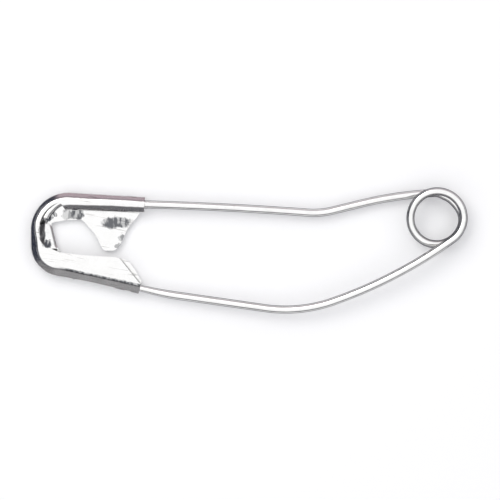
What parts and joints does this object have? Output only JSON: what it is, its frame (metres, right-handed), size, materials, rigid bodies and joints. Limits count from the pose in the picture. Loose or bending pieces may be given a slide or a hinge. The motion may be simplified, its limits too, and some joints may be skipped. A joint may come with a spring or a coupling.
{
  "type": "safety pin",
  "caption": "Closed curved safety pin: a spring wire with a coil, a fixed arm crimped in a folded sheet cap and a pointed needle arm held by the cap's guard.",
  "frame": {"origin": "middle of the closed pin's bounding box, on the plane of the cap's back plate and the coil's underside", "axes": "+X from the cap to the coil, +Y from the needle arm to the fixed arm, +Z from the cap's back plate to its open front"},
  "size_m": [0.038, 0.011, 0.0019],
  "materials": {
    "cap_plate": "bright nickel plate on pressed sheet",
    "wire_plate": "bright nickel plate on spring wire"
  },
  "bodies": {
    "head": {"clasp_cap": "cap_plate", "fixed_arm": "wire_plate"},
    "spring": {"spring_coil": "wire_plate"},
    "needle": {"needle_arm": "wire_plate", "needle_point": "wire_plate"}
  },
  "joints": [
    {"name": "needle_swing", "type": "hinge", "parent": "head", "child": "spring", "pos_m": [0.01636, 0.00287, 0.00093], "axis": [0, 0, 1], "range_deg": [-8, 35], "stiffness_Nm_per_rad": 0.05, "deforming": ["spring_coil", "needle_point"]},
    {"name": "needle_side_flex", "type": "hinge", "parent": "spring", "child": "needle", "pos_m": [0.01704, 0.00056, 0.00151], "axis": [-0.1429, 0.9897, 0], "range_deg": [0, 3.5], "stiffness_Nm_per_rad": 0.05, "deforming": ["needle_point"]}
  ]
}
